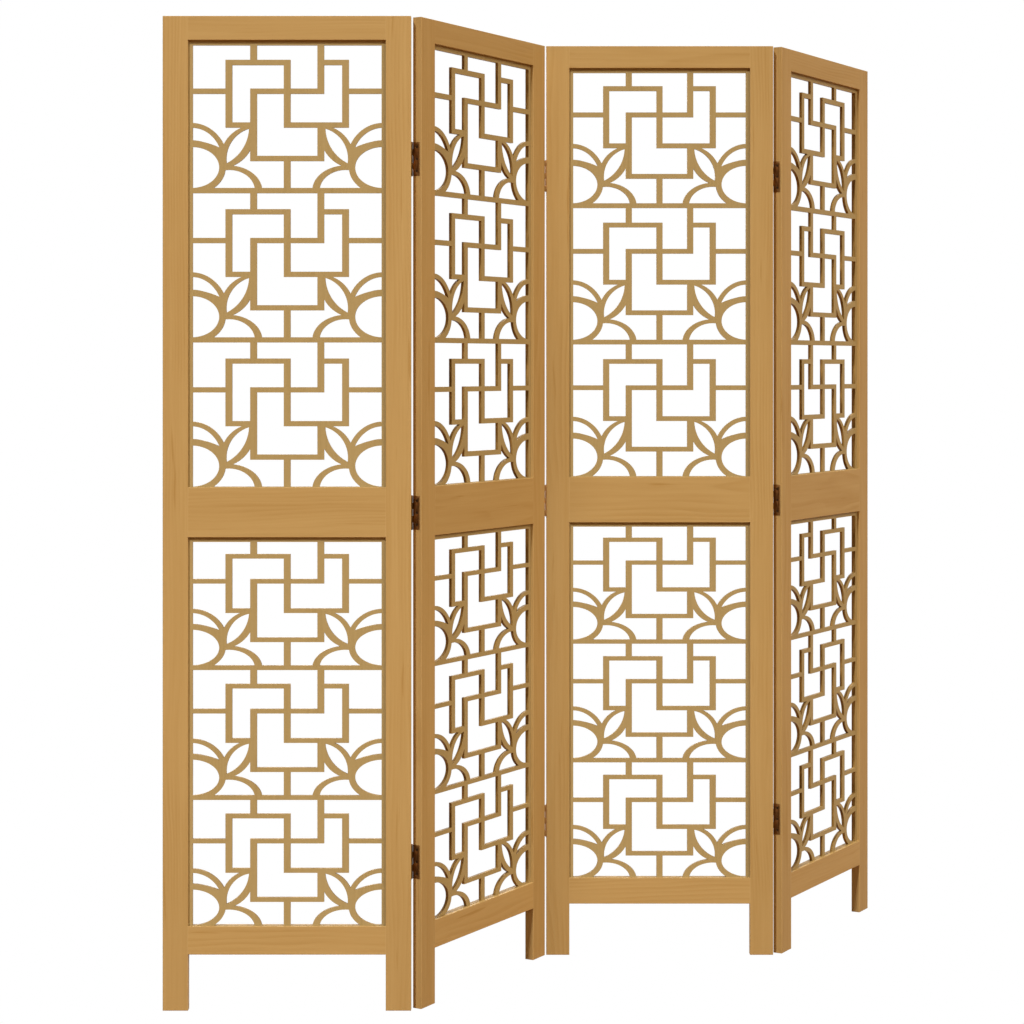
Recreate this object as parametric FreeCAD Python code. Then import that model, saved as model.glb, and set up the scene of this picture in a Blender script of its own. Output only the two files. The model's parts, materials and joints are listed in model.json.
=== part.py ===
"""Folding screen of four lattice panels, joined by butt hinges at three folds.

Lengths are in millimetres and +Z is up. Each panel is drawn in its own frame: x runs from its left
edge to its right edge, y from its front face to its back face, and z up from its feet. The panels
are then set in a chain from fold to fold, in the zig-zag in which the screen stands, and the origin
is the middle of the floor under them.
"""
import FreeCAD, Part
import os
from math import radians, sin, cos

Vector = FreeCAD.Vector
across = Vector(1, 0, 0)
backward = Vector(0, 1, 0)
up = Vector(0, 0, 1)

# The panel
screen_height = 1650.0
panel_width = 412.0
panel_thickness = 17.0

# Its frame of two full-height stiles with three rails between them
stile_width = 42.0
top_rail_height = 40.0
upper_opening_height = 742.0
middle_rail_height = 83.0
bottom_rail_height = 47.0
leg_height = 93.0
edge_ease = 0.8

# The dowels at each end of a rail
dowel_diameter = 8.0
dowel_length = 36.0
dowel_inset = 13.0
dowel_fit = 0.05
dowel_end_room = 1.0

# The lattice sheets and the grooves that hold them
sheet_thickness = 5.5
tongue = 5.0
groove_fit = 0.15
groove_end_room = 0.5
side_border_show = 7.2
top_border_show = 8.0
first_separator_drop = 1.2
last_separator_drop = 3.4
cells_per_sheet = 3
bar_width = 11.3
bar_height_share = 0.0355

# Places in a cell: x as a share of half the sheet's clear width, z as a share of the cell's height
near_share = 0.356
far_share = 0.618
loop_top_share = 0.858
middle_share = 0.6655
low_share = 0.439
box_foot_share = 0.215

# The flower in each lower corner of a cell, as (x share, z share) from the centre line and the foot
ring_centre_share = (1.013, 0.155)
ring_outer_share = (0.360, 0.182)
ring_inner_share = (0.293, 0.1375)
petal_centre_share = (1.013, 0.185)
petal_outer_share = (0.3865, 0.268)
petal_inner_share = (0.3285, 0.236)
root_centre_share = (0.618, 0.0)
root_outer_share = (0.3525, 0.168)
root_inner_share = (0.2755, 0.1386)
root_end_share = 0.66
leaf_outer_tips_share = ((0.692, 0.1486), (0.358, 0.437))
leaf_outer_sides_share = ((0.6255, 0.356), (0.4285, 0.236))
leaf_inner_tips_share = ((0.641, 0.183), (0.404, 0.415))
leaf_inner_sides_share = ((0.591, 0.3266), (0.4726, 0.2784))
web_tips_share = ((0.932, 0.3313), (0.678, 0.276))
web_side_share = (0.786, 0.3066)
web_corner_share = (0.69, 0.235)

# The folds: how far each panel turns from the one before, and where the pin stands
fold_turn = 59.3
pin_to_edge = 0.8
pin_to_face = 1.3

# The hinges
hinge_length = 56.0
top_hinge_drop = 236.0
bottom_hinge_rise = 244.0
leaf_thickness = 0.6
leaf_reach = 15.0
knuckle_count = 5
knuckle_diameter = 2.8
knuckle_room = 0.3
knuckle_gap = 0.25
pin_diameter = 1.5
pin_fit = 0.05
pin_head_diameter = 2.6
pin_head_height = 0.8
pin_end_room = 0.1

# The screws that hold the leaves
screws_per_leaf = 3
screw_pitch = 20.0
screw_line = 9.4
screw_head_diameter = 4.4
screw_shank_diameter = 2.4
screw_length = 14.0
screw_tip_length = 3.0
screw_fit = 0.05
screw_sink = 0.1
pilot_end_room = 0.6

# Worked out from the sizes above
opening_width = panel_width - 2 * stile_width
half_opening = opening_width / 2
middle_x = panel_width / 2
half_clear = half_opening - side_border_show
bottom_rail_top = leg_height + bottom_rail_height
upper_opening_top = screen_height - top_rail_height
upper_opening_foot = upper_opening_top - upper_opening_height
middle_rail_foot = upper_opening_foot - middle_rail_height
lower_opening_height = middle_rail_foot - bottom_rail_top
sheet_y = (panel_thickness - sheet_thickness) / 2
rail_spans = {
    "top_rail": (upper_opening_top, screen_height),
    "middle_rail": (middle_rail_foot, upper_opening_foot),
    "bottom_rail": (leg_height, bottom_rail_top),
}
opening_spans = {
    "upper_lattice": (upper_opening_foot, upper_opening_height),
    "lower_lattice": (bottom_rail_top, lower_opening_height),
}
hinge_centres = {
    "top": screen_height - top_hinge_drop,
    "middle": screen_height / 2,
    "bottom": bottom_hinge_rise,
}

# The panels from left to right: how far each is turned, and whether its lattice is turned over
panel_turns = {1: 0.0, 2: fold_turn, 3: 0.0, 4: fold_turn}
turned_over = {1: False, 2: False, 3: False, 4: True}

# The folds, with the side of the panels on which the pin stands
fold_sides = {(1, 2): "back", (2, 3): "front", (3, 4): "back"}


def box(low, high):
    """A block between two opposite corners, given as (x, y, z)."""
    size = [b - a for a, b in zip(low, high)]
    return Part.makeBox(*size, Vector(*low))


def dressed_frame():
    """The stiles and rails of one panel as one piece, with the edges of both its faces eased."""
    whole = box((0, 0, 0), (panel_width, panel_thickness, screen_height))
    windows = [(0, leg_height)] + [(foot, foot + height) for foot, height in opening_spans.values()]
    for foot, head in windows:
        whole = whole.cut(box((stile_width, 0, foot), (panel_width - stile_width, panel_thickness, head)))
    face_edges = [edge for edge in whole.Edges if abs(edge.tangentAt(0).dot(backward)) < 0.5]
    return whole.makeFillet(edge_ease, face_edges)


def rectangle(x_low, x_high, z_low, z_high):
    """A flat rectangle in the plane of the lattice."""
    corners = [(x_low, z_low), (x_high, z_low), (x_high, z_high), (x_low, z_high), (x_low, z_low)]
    return Part.Face(Part.makePolygon([Vector(x, 0, z) for x, z in corners]))


def oval(centre, reach):
    """A flat ellipse in the plane of the lattice, from its centre and its two half widths."""
    middle = Vector(centre[0], 0, centre[1])
    sideways = middle + across * reach[0]
    upward = middle + up * reach[1]
    long_end, short_end = (sideways, upward) if reach[0] >= reach[1] else (upward, sideways)
    return Part.Face(Part.Wire(Part.Ellipse(long_end, short_end, middle).toShape()))


def band(centre, outer, inner, window):
    """The part of an oval ring that lies in a rectangular window."""
    return oval(centre, outer).cut(oval(centre, inner)).common(rectangle(*window))


def blade(tips, sides):
    """A flat pointed leaf between two tips, bounded by an arc through each side point."""
    first, last = [Vector(x, 0, z) for x, z in tips]
    one, other = [Vector(x, 0, z) for x, z in sides]
    edges = [Part.Arc(first, one, last).toShape(), Part.Arc(last, other, first).toShape()]
    return Part.Face(Part.Wire(edges))


def wedge(tips, side, corner):
    """A flat wedge whose crown is an arc between two tips, with straight edges to its corner."""
    first, last = [Vector(x, 0, z) for x, z in tips]
    crown = Part.Arc(first, Vector(side[0], 0, side[1]), last).toShape()
    foot = Vector(corner[0], 0, corner[1])
    edges = [crown, Part.makeLine(last, foot), Part.makeLine(foot, first)]
    return Part.Face(Part.Wire(edges))


def turned(shape, sign):
    """A shape as it is, or mirrored about the panel's centre line where the sign is -1."""
    return shape if sign > 0 else shape.mirror(Vector(0, 0, 0), across)


def cell_bars(pitch, foot):
    """The straight bars of one lattice cell, whose lower separator is centred at the given foot."""
    near, far = near_share * half_clear, far_share * half_clear
    border = half_clear + bar_width / 2
    loop_top, middle = foot + loop_top_share * pitch, foot + middle_share * pitch
    low, box_foot = foot + low_share * pitch, foot + box_foot_share * pitch
    head = foot + pitch
    uprights = [
        (-near, loop_top, head), (near, middle, head),
        (-far, low, loop_top), (0, low, loop_top), (far, low, loop_top),
        (-near, box_foot, middle), (near, box_foot, low), (0, foot, box_foot),
    ]
    crosses = [
        (loop_top, -far, 0), (loop_top, near, far),
        (middle, -near, near), (middle, -border, -far), (middle, far, border),
        (low, -far, -near), (low, 0, far),
        (box_foot, -near, near), (foot, -border, border),
    ]
    half_width, half_height = bar_width / 2, bar_height_share * pitch / 2
    bars = []
    for x, z_low, z_high in uprights:
        bars.append(rectangle(x - half_width, x + half_width, z_low - half_height, z_high + half_height))
    for z, x_low, x_high in crosses:
        bars.append(rectangle(x_low - half_width, x_high + half_width, z - half_height, z + half_height))
    return bars


def cell_flower(pitch, foot):
    """The flower in the lower right corner of one lattice cell: its pieces, and the leaf's hole."""
    def place(share):
        return (share[0] * half_clear, foot + share[1] * pitch)

    def reach(share):
        return (share[0] * half_clear, share[1] * pitch)

    edge, head = half_clear + bar_width / 2, foot + pitch
    ring = band(place(ring_centre_share), reach(ring_outer_share), reach(ring_inner_share),
                (0, edge, foot, head))
    petal_centre = place(petal_centre_share)
    petal = band(petal_centre, reach(petal_outer_share), reach(petal_inner_share),
                 (0, edge, petal_centre[1], head))
    root = band(place(root_centre_share), reach(root_outer_share), reach(root_inner_share),
                (0, root_end_share * half_clear, foot, head))
    leaf = blade([place(tip) for tip in leaf_outer_tips_share],
                 [place(side) for side in leaf_outer_sides_share])
    web = wedge([place(tip) for tip in web_tips_share], place(web_side_share), place(web_corner_share))
    hole = blade([place(tip) for tip in leaf_inner_tips_share],
                 [place(side) for side in leaf_inner_sides_share])
    return [ring, petal, root, leaf, web], hole


def lattice_sheet(opening_height):
    """One lattice sheet, with x from the panel's centre line and z from the foot of its opening."""
    pitch = (opening_height - first_separator_drop + last_separator_drop) / cells_per_sheet
    half_bar = bar_height_share * pitch / 2
    half_sheet = half_opening + tongue
    sheet_top = opening_height + tongue
    flats = [
        rectangle(-half_sheet, -half_clear, -tongue, sheet_top),
        rectangle(half_clear, half_sheet, -tongue, sheet_top),
        rectangle(-half_sheet, half_sheet, opening_height - top_border_show, sheet_top),
        rectangle(-half_sheet, half_sheet, -tongue, half_bar - last_separator_drop),
    ]
    holes = []
    for number in range(cells_per_sheet):
        foot = number * pitch - last_separator_drop
        flats += cell_bars(pitch, foot)
        flower, hole = cell_flower(pitch, foot)
        for sign in (1, -1):
            flats += [turned(piece, sign) for piece in flower]
            holes.append(turned(hole, sign))
    bodies = [flat.extrude(backward * sheet_thickness) for flat in flats]
    cutters = [hole.extrude(backward * sheet_thickness) for hole in holes]
    outline = box((-half_sheet, 0, -tongue), (half_sheet, sheet_thickness, sheet_top))
    merged = bodies[0].multiFuse(bodies[1:]).common(outline).cut(cutters)
    return merged.removeSplitter().Solids[0]


def groove_cutter(opening_foot, opening_height):
    """The room that a lattice sheet's edges need in the frame round an opening."""
    out = tongue + groove_end_room
    low = (stile_width - out, sheet_y - groove_fit, opening_foot - out)
    high = (panel_width - stile_width + out, sheet_y + sheet_thickness + groove_fit,
            opening_foot + opening_height + out)
    return box(low, high)


def dowel_places():
    """The (x, z) centre of each dowel of a panel."""
    places = []
    for foot, head in rail_spans.values():
        for x in (stile_width, panel_width - stile_width):
            for z in (foot + dowel_inset, head - dowel_inset):
                places.append((x, z))
    return places


def level_rods(places, diameter, length):
    """Round rods of one length along x, centred on each place and on half the panel's thickness."""
    rods = []
    for x, z in places:
        start = Vector(x - length / 2, panel_thickness / 2, z)
        rods.append(Part.makeCylinder(diameter / 2, length, start, across))
    return Part.makeCompound(rods)


def screw_heights():
    """The height of each screw of a fold's three hinges."""
    heights = []
    for centre in hinge_centres.values():
        for number in range(screws_per_leaf):
            heights.append(centre + (number - (screws_per_leaf - 1) / 2) * screw_pitch)
    return heights


def edge_origin(side, edge):
    """The foot of the pin's line in a panel's own frame, for a fold at its left or right edge."""
    x = -pin_to_edge if edge == "left" else panel_width + pin_to_edge
    y = panel_thickness + pin_to_face if side == "back" else -pin_to_face
    return Vector(x, y, 0)


def seated(shape, side, edge):
    """Moves a hinge piece from the hinge's own frame to the edge of the panel that carries it.

    In the hinge's own frame the pin's line is the z axis, the leaf lies at negative x, on the right
    edge of a panel, and it reaches towards negative y, as for a pin behind the panel's back face.
    """
    placed = shape if side == "back" else shape.mirror(Vector(0, 0, 0), backward)
    placed = placed if edge == "right" else placed.mirror(Vector(0, 0, 0), across)
    return placed.translated(edge_origin(side, edge))


def knuckle_spans(centre, edge):
    """The lowest and highest level of each knuckle that belongs to the leaf of one edge."""
    step = hinge_length / knuckle_count
    foot = centre - hinge_length / 2
    first = 0 if edge == "right" else 1
    spans = []
    for number in range(first, knuckle_count, 2):
        low = foot + number * step + (knuckle_gap / 2 if number > 0 else 0)
        high = foot + (number + 1) * step - (knuckle_gap / 2 if number < knuckle_count - 1 else 0)
        spans.append((low, high))
    return spans


def screw(extra, length):
    """A countersunk screw, or with some extra the room for it, pointing along -x from its head."""
    head = screw_head_diameter / 2 + extra
    shank = screw_shank_diameter / 2 + extra
    cone = head - shank
    profile = [(0, 0), (0, head), (cone, shank), (length - screw_tip_length, shank), (length, 0), (0, 0)]
    outline = Part.Face(Part.makePolygon([Vector(-depth, radius, 0) for depth, radius in profile]))
    return outline.revolve(Vector(0, 0, 0), across, 360)


def screw_hole():
    """The room for one screw, sunk below the leaf's face as the screw is, with clearance all round."""
    sunk = screw(screw_fit, screw_length + pilot_end_room).translated(across * -screw_sink)
    mouth = Part.makeCylinder(screw_head_diameter / 2 + screw_fit, screw_sink, Vector(0, 0, 0), -across)
    return sunk.fuse(mouth)


def leaf_face_x():
    """Where a leaf's outer face lies in the hinge's own frame."""
    return leaf_thickness - pin_to_edge


def hinge_leaf(centre, edge):
    """One leaf of a hinge in the hinge's own frame: a plate with its knuckles and screw holes."""
    foot, head = centre - hinge_length / 2, centre + hinge_length / 2
    step_back = knuckle_diameter / 2 + knuckle_room
    leaf = box((-pin_to_edge, -leaf_reach, foot), (leaf_face_x(), -step_back, head))
    for low, high in knuckle_spans(centre, edge):
        neck = box((-pin_to_edge, -step_back, low), (leaf_face_x(), 0, high))
        barrel = Part.makeCylinder(knuckle_diameter / 2, high - low, Vector(0, 0, low))
        leaf = leaf.fuse([neck, barrel])
    bore = Part.makeCylinder(pin_diameter / 2 + pin_fit, hinge_length, Vector(0, 0, foot))
    holes = [bore]
    for height in screw_heights():
        if foot < height < head:
            holes.append(screw_hole().translated(Vector(leaf_face_x(), -screw_line, height)))
    return leaf.cut(holes).removeSplitter()


def hinge_pins():
    """The pins of one fold's three hinges in the hinge's own frame, each with a head at both ends."""
    pins = []
    for centre in hinge_centres.values():
        foot = centre - hinge_length / 2 - pin_end_room
        length = hinge_length + 2 * pin_end_room
        shaft = Part.makeCylinder(pin_diameter / 2, length, Vector(0, 0, foot))
        heads = []
        for start, end in ((foot, foot - pin_head_height), (foot + length, foot + length + pin_head_height)):
            low = min(start, end)
            head = Part.makeCylinder(pin_head_diameter / 2, pin_head_height, Vector(0, 0, low))
            rim = [edge for edge in head.Edges if isinstance(edge.Curve, Part.Circle)
                   and abs(edge.CenterOfMass.z - end) < pin_head_height / 2]
            heads.append(head.makeFillet(pin_head_height / 2, rim))
        pins.append(shaft.fuse(heads).removeSplitter())
    return Part.makeCompound(pins)


def hinge_screws():
    """The screws of one side of a fold in the hinge's own frame, as separate solids."""
    screws = []
    for height in screw_heights():
        place = Vector(leaf_face_x() - screw_sink, -screw_line, height)
        screws.append(screw(0, screw_length).translated(place))
    return Part.makeCompound(screws)


def pilot_holes():
    """The holes in a stile for the screws of one side of a fold, in the hinge's own frame."""
    places = [Vector(leaf_face_x(), -screw_line, height) for height in screw_heights()]
    return Part.makeCompound([screw_hole().translated(place) for place in places])


def panel_folds(number):
    """The (side, edge) of each fold at which a panel is hinged."""
    folds = []
    for (left, right), side in fold_sides.items():
        if number == left:
            folds.append((side, "right"))
        if number == right:
            folds.append((side, "left"))
    return folds


def panel_pieces(number, frame, sheets):
    """The wooden pieces of one panel, by name, in the panel's own frame."""
    grooves = [groove_cutter(*span) for span in opening_spans.values()]
    sockets = level_rods(dowel_places(), dowel_diameter + 2 * dowel_fit, dowel_length + 2 * dowel_end_room)
    pilots = [seated(pilot_holes(), side, edge) for side, edge in panel_folds(number)]
    cuts = grooves + [sockets] + pilots
    blanks = {
        "left_stile": box((0, 0, 0), (stile_width, panel_thickness, screen_height)),
        "right_stile": box((panel_width - stile_width, 0, 0), (panel_width, panel_thickness, screen_height)),
    }
    for name, (foot, head) in rail_spans.items():
        blanks[name] = box((stile_width, 0, foot), (panel_width - stile_width, panel_thickness, head))
    pieces = {name: frame.common(blank).cut(cuts) for name, blank in blanks.items()}
    for name, (foot, _) in opening_spans.items():
        sheet = turned(sheets[name], -1 if turned_over[number] else 1)
        pieces[name] = sheet.translated(Vector(middle_x, sheet_y, foot))
    pieces["dowels"] = level_rods(dowel_places(), dowel_diameter, dowel_length)
    return pieces


def fold_pieces(left, right, side):
    """The hinge pieces of one fold, as name, carrying panel and shape in that panel's own frame."""
    fold = f"fold_{left}_{right}"
    carriers = {"right": (left, "left"), "left": (right, "right")}
    pieces = []
    for edge, (panel, word) in carriers.items():
        for level, centre in hinge_centres.items():
            leaf = seated(hinge_leaf(centre, edge), side, edge)
            pieces.append((f"{fold}_{level}_{word}_leaf", panel, leaf))
        pieces.append((f"{fold}_{word}_screws", panel, seated(hinge_screws(), side, edge)))
    pieces.append((f"{fold}_pins", left, seated(hinge_pins(), side, "right")))
    return pieces


def spun(vector, degrees):
    """A vector turned about the z axis."""
    angle = radians(degrees)
    return Vector(vector.x * cos(angle) - vector.y * sin(angle),
                  vector.x * sin(angle) + vector.y * cos(angle), vector.z)


def chain():
    """The place of each panel's own origin and of each fold's pin, with panel 1 at the start."""
    places = {1: Vector(0, 0, 0)}
    pins = {}
    for (left, right), side in fold_sides.items():
        pin = places[left] + spun(edge_origin(side, "right"), panel_turns[left])
        pins[(left, right)] = pin
        places[right] = pin - spun(edge_origin(side, "left"), panel_turns[right])
    return places, pins


def floor_centre(places):
    """The middle of the floor that the panels' outlines cover, from where their corners are rounded."""
    corners = []
    for number, place in places.items():
        for x in (edge_ease, panel_width - edge_ease):
            for y in (edge_ease, panel_thickness - edge_ease):
                corners.append(place + spun(Vector(x, y, 0), panel_turns[number]))
    middles = [(min(values) + max(values)) / 2 for values in
               ([corner.x for corner in corners], [corner.y for corner in corners])]
    return Vector(middles[0], middles[1], 0)


def set_up(shape, number, places, centre):
    """Moves a shape from a panel's own frame to where the panel stands."""
    standing = shape.copy()
    standing.rotate(Vector(0, 0, 0), up, panel_turns[number])
    standing.translate(places[number] - centre)
    return standing


def build():
    """Every node of the screen by name, where it stands."""
    places, _ = chain()
    centre = floor_centre(places)
    frame = dressed_frame()
    sheets = {name: lattice_sheet(height) for name, (_, height) in opening_spans.items()}
    nodes = {}
    for number in panel_turns:
        for name, shape in panel_pieces(number, frame, sheets).items():
            nodes[f"panel_{number}_{name}"] = set_up(shape, number, places, centre)
    for (left, right), side in fold_sides.items():
        for name, carrier, shape in fold_pieces(left, right, side):
            nodes[name] = set_up(shape, carrier, places, centre)
    return nodes


def main():
    """Writes one STEP file for each node."""
    os.makedirs("parts", exist_ok=True)
    for name, shape in build().items():
        shape.exportStep(os.path.join("parts", f"{name}.step"))
        print(name, len(shape.Solids), round(shape.Volume), shape.isValid())


if __name__ == "__main__":
    main()
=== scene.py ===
"""The looks of a folding screen: four lattice panels, joined by three hinges at each fold.

The frame gives every piece its shape and place. This script dresses the wooden pieces and the pins
as they are, gives the hinge leaves softened edges, and models the screws, which the frame holds as
plain cones and rods. Lengths are in metres, turns in degrees, and +Z is up. A finish is worked out
in the axes of the panel that carries the piece, so the grain follows the wood at any fold.
"""

import json
import logging
from dataclasses import dataclass, field, replace
from enum import Enum
from math import atan2, cos, pi, radians, sin
from random import Random

import bmesh
import bpy
from mathutils import Matrix, Vector

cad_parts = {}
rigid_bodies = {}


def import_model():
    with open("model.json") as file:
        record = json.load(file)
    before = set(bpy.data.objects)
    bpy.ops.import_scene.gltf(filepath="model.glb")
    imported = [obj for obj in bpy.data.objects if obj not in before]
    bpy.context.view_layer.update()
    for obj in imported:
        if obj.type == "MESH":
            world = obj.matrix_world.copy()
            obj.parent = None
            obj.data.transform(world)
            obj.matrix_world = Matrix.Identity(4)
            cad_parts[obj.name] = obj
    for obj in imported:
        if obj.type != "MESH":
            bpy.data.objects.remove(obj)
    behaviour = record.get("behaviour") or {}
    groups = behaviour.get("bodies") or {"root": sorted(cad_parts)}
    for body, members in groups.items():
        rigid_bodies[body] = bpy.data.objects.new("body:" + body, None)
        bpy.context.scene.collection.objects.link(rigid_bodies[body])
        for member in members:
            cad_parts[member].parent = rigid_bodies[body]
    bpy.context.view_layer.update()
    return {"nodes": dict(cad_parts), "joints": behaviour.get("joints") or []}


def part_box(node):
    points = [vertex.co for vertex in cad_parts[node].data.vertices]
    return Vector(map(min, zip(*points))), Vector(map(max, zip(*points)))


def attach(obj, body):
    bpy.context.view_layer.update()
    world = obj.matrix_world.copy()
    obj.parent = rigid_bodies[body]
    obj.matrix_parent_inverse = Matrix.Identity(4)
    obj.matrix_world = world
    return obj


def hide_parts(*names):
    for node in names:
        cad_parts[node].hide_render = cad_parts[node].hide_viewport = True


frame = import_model()

log = logging.getLogger("folding_screen")

SMOOTH_ANGLE = 30.0
QUARTER_TURN = 90.0

Colour = tuple[float, float, float]
Triple = tuple[float, float, float]
Span = tuple[float, float]
Value = float | tuple[float, ...] | bpy.types.NodeSocket


class Grain(Enum):
    """How the grain of a wooden piece runs in its panel, as the turn that brings it upright."""

    UPRIGHT = (0.0, 0.0, 0.0)
    LEVEL = (0.0, pi / 2, 0.0)


class Edge(Enum):
    """The edge of a panel at which a leaf is screwed on."""

    LEFT = "left"
    RIGHT = "right"


class Side(Enum):
    """The side of the panels on which the pin of a fold stands."""

    FRONT = "front"
    BACK = "back"


@dataclass(frozen=True)
class Layer:
    """One noise of a finish: how many blobs it has to a unit on each axis, and its finer layers."""

    blobs: Triple
    detail: float = 2.0
    roughness: float = 0.5


class Graph:
    """Adds nodes to one shader tree and joins them."""

    def __init__(self, tree: bpy.types.NodeTree) -> None:
        """Works on a tree.

        Args:
            tree: the shader tree of a material, a world or a node group.
        """
        self.tree = tree

    def node(self, kind: str, **settings: object) -> bpy.types.Node:
        """Adds a node.

        Args:
            kind: the node's type name.
            settings: properties of the node, by name.

        Returns:
            The new node.
        """
        node = self.tree.nodes.new(kind)
        for name, value in settings.items():
            setattr(node, name, value)
        return node

    def feed(self, socket: bpy.types.NodeSocket, value: Value) -> None:
        """Links a socket to another one, or sets its value.

        Args:
            socket: the input to feed.
            value: an output socket, a number, a vector or a colour.
        """
        if isinstance(value, bpy.types.NodeSocket):
            self.tree.links.new(value, socket)
        elif isinstance(value, tuple) and len(value) == 3 and socket.type == "RGBA":
            socket.default_value = (*value, 1.0)
        else:
            socket.default_value = value

    def math(self, operation: str, *values: Value, clamp: bool = False) -> bpy.types.NodeSocket:
        """Adds a Math node.

        Args:
            operation: the node's operation.
            values: its inputs, in order.
            clamp: whether the result is kept between 0 and 1.

        Returns:
            The result.
        """
        node = self.node("ShaderNodeMath", operation=operation, use_clamp=clamp)
        for socket, value in zip(node.inputs, values):
            self.feed(socket, value)
        return node.outputs[0]

    def vector_math(self, operation: str, *values: Value) -> bpy.types.NodeSocket:
        """Adds a Vector Math node.

        Args:
            operation: the node's operation.
            values: its vector inputs, in order.

        Returns:
            The vector that it gives.
        """
        node = self.node("ShaderNodeVectorMath", operation=operation)
        for socket, value in zip(node.inputs, values):
            self.feed(socket, value)
        return node.outputs["Vector"]

    def split(self, vector: Value) -> tuple[bpy.types.NodeSocket, ...]:
        """Parts a vector into its three numbers.

        Args:
            vector: the vector to part.

        Returns:
            The x, y and z outputs.
        """
        node = self.node("ShaderNodeSeparateXYZ")
        self.feed(node.inputs[0], vector)
        return tuple(node.outputs)

    def noise(self, vector: Value, layer: Layer) -> bpy.types.Node:
        """Adds a noise.

        Args:
            vector: where the noise is read.
            layer: how fine it is.

        Returns:
            The node, whose first output is a number and whose second is a colour.
        """
        node = self.node("ShaderNodeTexNoise")
        self.feed(node.inputs["Vector"], self.vector_math("MULTIPLY", vector, layer.blobs))
        self.feed(node.inputs["Scale"], 1.0)
        self.feed(node.inputs["Detail"], layer.detail)
        self.feed(node.inputs["Roughness"], layer.roughness)
        return node

    def span(self, value: Value, source: tuple[Value, Value], result: tuple[Value, Value] = (0.0, 1.0),
             smooth: bool = True) -> bpy.types.NodeSocket:
        """Maps one range of a value to another, and keeps it there.

        Args:
            value: the number to map.
            source: where the range starts and ends.
            result: what it gives at its start and at its end.
            smooth: whether the change eases in and out.

        Returns:
            The mapped number.
        """
        node = self.node("ShaderNodeMapRange", interpolation_type="SMOOTHSTEP" if smooth else "LINEAR")
        for name, number in (("Value", value), ("From Min", source[0]), ("From Max", source[1]),
                             ("To Min", result[0]), ("To Max", result[1])):
            self.feed(node.inputs[name], number)
        return node.outputs[0]

    def radius(self, x: Value, y: Value) -> bpy.types.NodeSocket:
        """Adds the nodes that measure how far a point is from an upright axis.

        Args:
            x: the point's place from the axis along x.
            y: its place along y.

        Returns:
            The distance.
        """
        square_x, square_y = (self.math("POWER", side, 2.0) for side in (x, y))
        return self.math("SQRT", self.math("ADD", square_x, square_y))

    def mix(self, factor: Value, first: Value, second: Value) -> bpy.types.NodeSocket:
        """Mixes two colours.

        Args:
            factor: the share of the second colour.
            first: the colour at 0.
            second: the colour at 1.

        Returns:
            The mixed colour.
        """
        node = self.node("ShaderNodeMix", data_type="RGBA")
        self.feed(node.inputs["Factor"], factor)
        self.feed(node.inputs[6], first)
        self.feed(node.inputs[7], second)
        return node.outputs[2]

    def group(self, tree: bpy.types.NodeTree, **values: Value) -> bpy.types.Node:
        """Places a node group.

        Args:
            tree: the group.
            values: its inputs by name, with an underscore for each space.

        Returns:
            The group's node.
        """
        node = self.node("ShaderNodeGroup", node_tree=tree)
        for name, value in values.items():
            self.feed(node.inputs[name.replace("_", " ")], value)
        return node


GroupStart = tuple[Graph, dict[str, bpy.types.NodeSocket], dict[str, bpy.types.NodeSocket]]


def new_group(name: str, inputs: dict[str, str], outputs: dict[str, str]) -> GroupStart:
    """Starts a shader node group with named sockets.

    Args:
        name: the group's name.
        inputs: the kind of each input, by its name: Float, Vector or Color.
        outputs: the kind of each output, by its name.

    Returns:
        The graph of the group, its inputs and its outputs, each as sockets by name.
    """
    tree = bpy.data.node_groups.new(name, "ShaderNodeTree")
    for names, way in ((inputs, "INPUT"), (outputs, "OUTPUT")):
        for label, kind in names.items():
            tree.interface.new_socket(name=label, in_out=way, socket_type=f"NodeSocket{kind}")
    graph = Graph(tree)
    start, end = graph.node("NodeGroupInput"), graph.node("NodeGroupOutput")
    given = {label: start.outputs[label] for label in inputs}
    return graph, given, {label: end.inputs[label] for label in outputs}


# The layers of the grain, with the log's axis along z
WANDER = Layer((14.0, 14.0, 2.2))
WANDER_MIDDLE = (0.5, 0.5, 0.5)
WANDER_REACH = (0.03, 0.03, 0.0)
RING_PATCHES = Layer((22.0, 22.0, 4.5), detail=1.0)
FINE_STREAKS = Layer((150.0, 150.0, 3.0))
BROAD_STREAKS = Layer((28.0, 28.0, 1.6), detail=1.0)
RARE_STREAKS = Layer((110.0, 110.0, 5.0))
FIBRES = Layer((1500.0, 1500.0, 26.0), detail=3.0, roughness=0.6)

# Where in a year the wood darkens and where it turns pale again
EARLY_WOOD = (0.15, 0.85)
LATE_WOOD = (0.88, 1.0)

# How the layers are weighed
PATCH_LIMITS = (0.38, 0.66)
PATCH_STRENGTHS = (0.1, 1.4)
RARE_LIMITS = (0.66, 0.76)
MIDDLE_NOISE = 0.5
MIDDLE_FIGURE = 0.35
RING_HEIGHT = -0.35


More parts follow.
